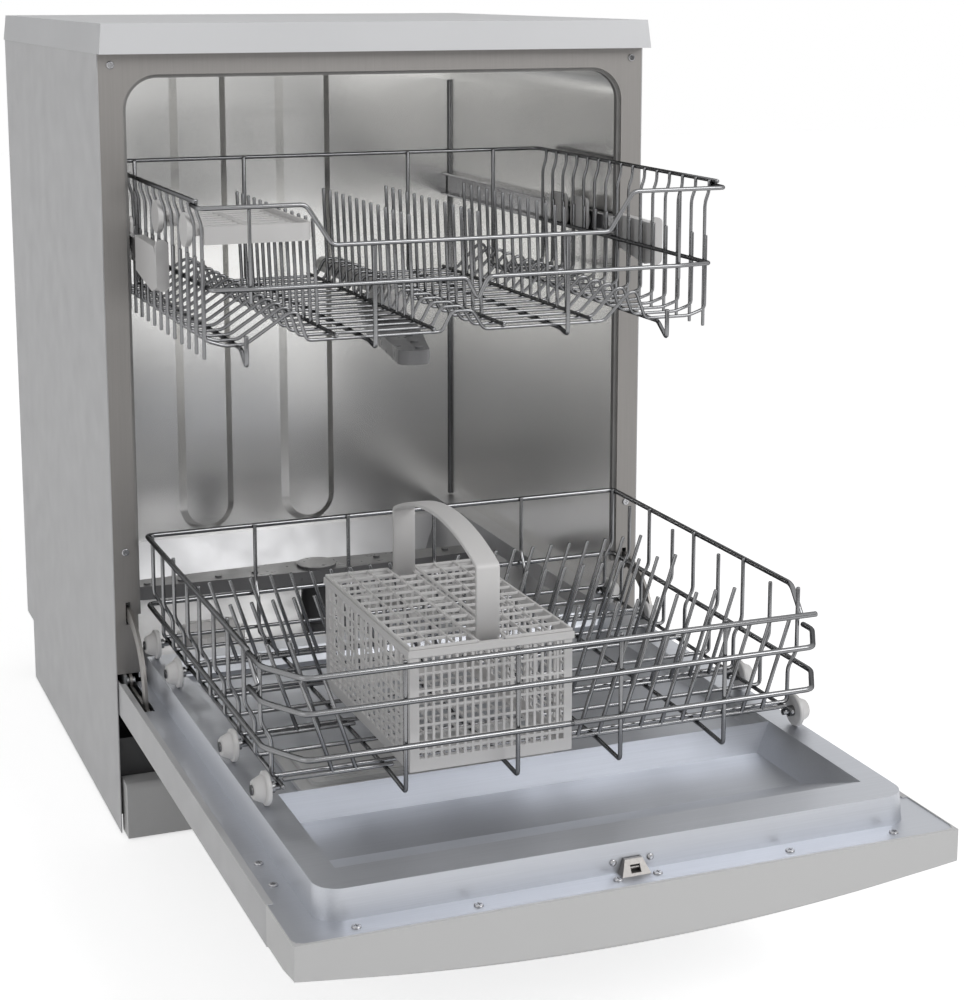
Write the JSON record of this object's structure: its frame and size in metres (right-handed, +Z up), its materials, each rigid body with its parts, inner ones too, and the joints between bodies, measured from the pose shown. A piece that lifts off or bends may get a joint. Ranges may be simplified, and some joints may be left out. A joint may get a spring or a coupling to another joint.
{
  "type": "dishwasher",
  "caption": "Free-standing dishwasher with a drop-down door, wire baskets that roll and slide out, a cutlery basket and spray arms, shown open.",
  "frame": {"origin": "middle of the floor area that the machine covers with its door open, on the floor", "axes": "+Z up, +Y from the open door to the machine's back, +X to the machine's right seen from the front"},
  "size_m": [0.602, 1.246, 0.85],
  "materials": {
    "laminate": "white laminated board",
    "paint": "white paint, satin",
    "zinc_sheet": "galvanised sheet",
    "dull_steel": "dull stainless sheet",
    "tub_steel": "polished stainless sheet",
    "liner_steel": "brushed stainless sheet",
    "bright_steel": "bright plated steel",
    "wire": "polished stainless wire",
    "pale_plastic": "white moulded plastic",
    "grey_plastic": "light grey moulded plastic",
    "dark_plastic": "black moulded plastic",
    "seal_rubber": "soft grey rubber",
    "weight_iron": "raw casting"
  },
  "bodies": {
    "cabinet": {"worktop": "laminate", "side_panel_left": "paint", "side_panel_right": "paint", "rear_panel": "zinc_sheet", "base_tray": "dark_plastic", "feet": "dark_plastic", "plinth": "pale_plastic", "tub_wrap": "tub_steel", "tub_back": "tub_steel", "tub_floor": "tub_steel", "front_frame": "dull_steel", "frame_screws": "bright_steel", "door_seal": "seal_rubber", "hinge_brackets": "zinc_sheet", "sump": "dark_plastic", "circulation_pump": "dark_plastic", "inlet_valve": "dark_plastic", "counterweight": "weight_iron", "rail_guides": "bright_steel"},
    "door": {"door_outer_panel": "paint", "door_liner": "liner_steel", "console": "pale_plastic", "dispenser_body": "pale_plastic", "latch": "bright_steel", "hinge_arms": "dull_steel", "door_screws": "bright_steel"},
    "dispenser_lid": {"dispenser_lid": "pale_plastic"},
    "power_button": {"power_button": "pale_plastic"},
    "lower_spray_arm": {"lower_spray_arm": "grey_plastic"},
    "filter_cup": {"filter_cup": "grey_plastic"},
    "salt_cap": {"salt_cap": "grey_plastic"},
    "lower_basket": {"lower_basket": "wire", "lower_tines": "wire", "wheel_axles": "wire"},
    "cutlery_basket": {"cutlery_basket": "grey_plastic"},
    "cutlery_lid_left": {"cutlery_lid_left": "grey_plastic"},
    "cutlery_lid_right": {"cutlery_lid_right": "grey_plastic"},
    "upper_basket": {"upper_basket": "wire", "upper_tines": "wire", "roller_carriers": "grey_plastic", "shelf_clips": "grey_plastic", "upper_feed_pipe": "grey_plastic"},
    "rail_left": {"rail_left": "bright_steel", "rail_cap_left": "grey_plastic"},
    "rail_right": {"rail_right": "bright_steel", "rail_cap_right": "grey_plastic"},
    "cup_shelf": {"cup_shelf": "grey_plastic"},
    "upper_spray_arm": {"upper_spray_arm": "grey_plastic"},
    "wheel_left_1": {"wheel_left_1": "grey_plastic"},
    "wheel_left_2": {"wheel_left_2": "grey_plastic"},
    "wheel_left_3": {"wheel_left_3": "grey_plastic"},
    "wheel_left_4": {"wheel_left_4": "grey_plastic"},
    "wheel_right_1": {"wheel_right_1": "grey_plastic"},
    "wheel_right_2": {"wheel_right_2": "grey_plastic"},
    "wheel_right_3": {"wheel_right_3": "grey_plastic"},
    "wheel_right_4": {"wheel_right_4": "grey_plastic"},
    "roller_left_1": {"roller_left_1": "grey_plastic"},
    "roller_left_2": {"roller_left_2": "grey_plastic"},
    "roller_right_1": {"roller_right_1": "grey_plastic"},
    "roller_right_2": {"roller_right_2": "grey_plastic"}
  },
  "joints": [
    {"name": "door_hinge", "type": "hinge", "parent": "cabinet", "child": "door", "pos_m": [0, 0.042, 0.17], "axis": [-1, 0, 0], "range_deg": [-1.5, 0]},
    {"name": "dispenser_lid_slide", "type": "slide", "parent": "door", "child": "dispenser_lid", "axis": [1, 0, 0], "range_m": [0, 0.1]},
    {"name": "power_button_press", "type": "slide", "parent": "door", "child": "power_button", "axis": [0, 0, 1], "range_m": [0, 0.002], "stiffness_N_per_m": 400},
    {"name": "lower_spray_arm_spin", "type": "hinge", "parent": "cabinet", "child": "lower_spray_arm", "pos_m": [0, 0.307, 0.185], "axis": [0, 0, 1], "continuous": true},
    {"name": "filter_turn", "type": "hinge", "parent": "cabinet", "child": "filter_cup", "pos_m": [0.092, 0.277, 0.127], "axis": [0, 0, 1], "range_deg": [0, 90]},
    {"name": "salt_cap_turn", "type": "hinge", "parent": "cabinet", "child": "salt_cap", "pos_m": [-0.14, 0.277, 0.13], "axis": [0, 0, 1], "range_deg": [0, 350]},
    {"name": "lower_basket_slide", "type": "slide", "parent": "cabinet", "child": "lower_basket", "axis": [0, -1, 0], "range_m": [-0.49, 0]},
    {"name": "cutlery_lift", "type": "slide", "parent": "lower_basket", "child": "cutlery_basket", "axis": [0, 0, 1], "range_m": [0, 0.11]},
    {"name": "cutlery_lid_left_hinge", "type": "hinge", "parent": "cutlery_basket", "child": "cutlery_lid_left", "pos_m": [-0.07925, -0.307, 0.33155], "axis": [0, 1, 0], "range_deg": [0, 85]},
    {"name": "cutlery_lid_right_hinge", "type": "hinge", "parent": "cutlery_basket", "child": "cutlery_lid_right", "pos_m": [-0.05275, -0.307, 0.33155], "axis": [0, -1, 0], "range_deg": [0, 85]},
    {"name": "upper_basket_slide", "type": "slide", "parent": "cabinet", "child": "upper_basket", "axis": [0, 1, 0], "range_m": [-0.15, 0.295]},
    {"name": "cup_shelf_hinge", "type": "hinge", "parent": "upper_basket", "child": "cup_shelf", "pos_m": [-0.249, -0.08, 0.664], "axis": [0, -1, 0], "range_deg": [0, 85]},
    {"name": "upper_spray_arm_spin", "type": "hinge", "parent": "upper_basket", "child": "upper_spray_arm", "pos_m": [-0.005, 0.012, 0.535], "axis": [0, 0, 1], "continuous": true},
    {"name": "wheel_left_1_roll", "type": "hinge", "parent": "lower_basket", "child": "wheel_left_1", "pos_m": [-0.264, 0.03, 0.2103], "axis": [1, 0, 0], "range_deg": [-1880, 10]},
    {"name": "wheel_left_2_roll", "type": "hinge", "parent": "lower_basket", "child": "wheel_left_2", "pos_m": [-0.264, -0.066, 0.2103], "axis": [1, 0, 0], "range_deg": [-1880, 10]},
    {"name": "wheel_left_3_roll", "type": "hinge", "parent": "lower_basket", "child": "wheel_left_3", "pos_m": [-0.264, -0.279, 0.2103], "axis": [1, 0, 0], "range_deg": [-1880, 10]},
    {"name": "wheel_left_4_roll", "type": "hinge", "parent": "lower_basket", "child": "wheel_left_4", "pos_m": [-0.264, -0.387, 0.2103], "axis": [1, 0, 0], "range_deg": [-1880, 10]},
    {"name": "wheel_right_1_roll", "type": "hinge", "parent": "lower_basket", "child": "wheel_right_1", "pos_m": [0.264, 0.03, 0.2103], "axis": [1, 0, 0], "range_deg": [-1880, 10]},
    {"name": "wheel_right_2_roll", "type": "hinge", "parent": "lower_basket", "child": "wheel_right_2", "pos_m": [0.264, -0.066, 0.2103], "axis": [1, 0, 0], "range_deg": [-1880, 10]},
    {"name": "wheel_right_3_roll", "type": "hinge", "parent": "lower_basket", "child": "wheel_right_3", "pos_m": [0.264, -0.279, 0.2103], "axis": [1, 0, 0], "range_deg": [-1880, 10]},
    {"name": "wheel_right_4_roll", "type": "hinge", "parent": "lower_basket", "child": "wheel_right_4", "pos_m": [0.264, -0.387, 0.2103], "axis": [1, 0, 0], "range_deg": [-1880, 10]},
    {"name": "rail_left_slide", "type": "slide", "parent": "cabinet", "child": "rail_left", "axis": [0, 1, 0], "range_m": [-0.0751, 0.1476]},
    {"name": "rail_right_slide", "type": "slide", "parent": "cabinet", "child": "rail_right", "axis": [0, 1, 0], "range_m": [-0.0751, 0.1476]},
    {"name": "roller_left_1_roll", "type": "hinge", "parent": "upper_basket", "child": "roller_left_1", "pos_m": [-0.2655, 0.114, 0.625], "axis": [1, 0, 0], "range_deg": [-820, 420]},
    {"name": "roller_left_2_roll", "type": "hinge", "parent": "upper_basket", "child": "roller_left_2", "pos_m": [-0.2655, 0.172, 0.625], "axis": [1, 0, 0], "range_deg": [-820, 420]},
    {"name": "roller_right_1_roll", "type": "hinge", "parent": "upper_basket", "child": "roller_right_1", "pos_m": [0.2655, 0.114, 0.625], "axis": [1, 0, 0], "range_deg": [-820, 420]},
    {"name": "roller_right_2_roll", "type": "hinge", "parent": "upper_basket", "child": "roller_right_2", "pos_m": [0.2655, 0.172, 0.625], "axis": [1, 0, 0], "range_deg": [-820, 420]}
  ],
  "couplings": [
    {"joint": "wheel_left_1_roll", "follows": "lower_basket_slide", "rad_per_m": 66.667},
    {"joint": "wheel_left_2_roll", "follows": "lower_basket_slide", "rad_per_m": 66.667},
    {"joint": "wheel_left_3_roll", "follows": "lower_basket_slide", "rad_per_m": 66.667},
    {"joint": "wheel_left_4_roll", "follows": "lower_basket_slide", "rad_per_m": 66.667},
    {"joint": "wheel_right_1_roll", "follows": "lower_basket_slide", "rad_per_m": 66.667},
    {"joint": "wheel_right_2_roll", "follows": "lower_basket_slide", "rad_per_m": 66.667},
    {"joint": "wheel_right_3_roll", "follows": "lower_basket_slide", "rad_per_m": 66.667},
    {"joint": "wheel_right_4_roll", "follows": "lower_basket_slide", "rad_per_m": 66.667},
    {"joint": "rail_left_slide", "follows": "upper_basket_slide", "ratio": 0.5},
    {"joint": "rail_right_slide", "follows": "upper_basket_slide", "ratio": 0.5},
    {"joint": "roller_left_1_roll", "follows": "upper_basket_slide", "rad_per_m": -47.619},
    {"joint": "roller_left_2_roll", "follows": "upper_basket_slide", "rad_per_m": -47.619},
    {"joint": "roller_right_1_roll", "follows": "upper_basket_slide", "rad_per_m": -47.619},
    {"joint": "roller_right_2_roll", "follows": "upper_basket_slide", "rad_per_m": -47.619}
  ]
}
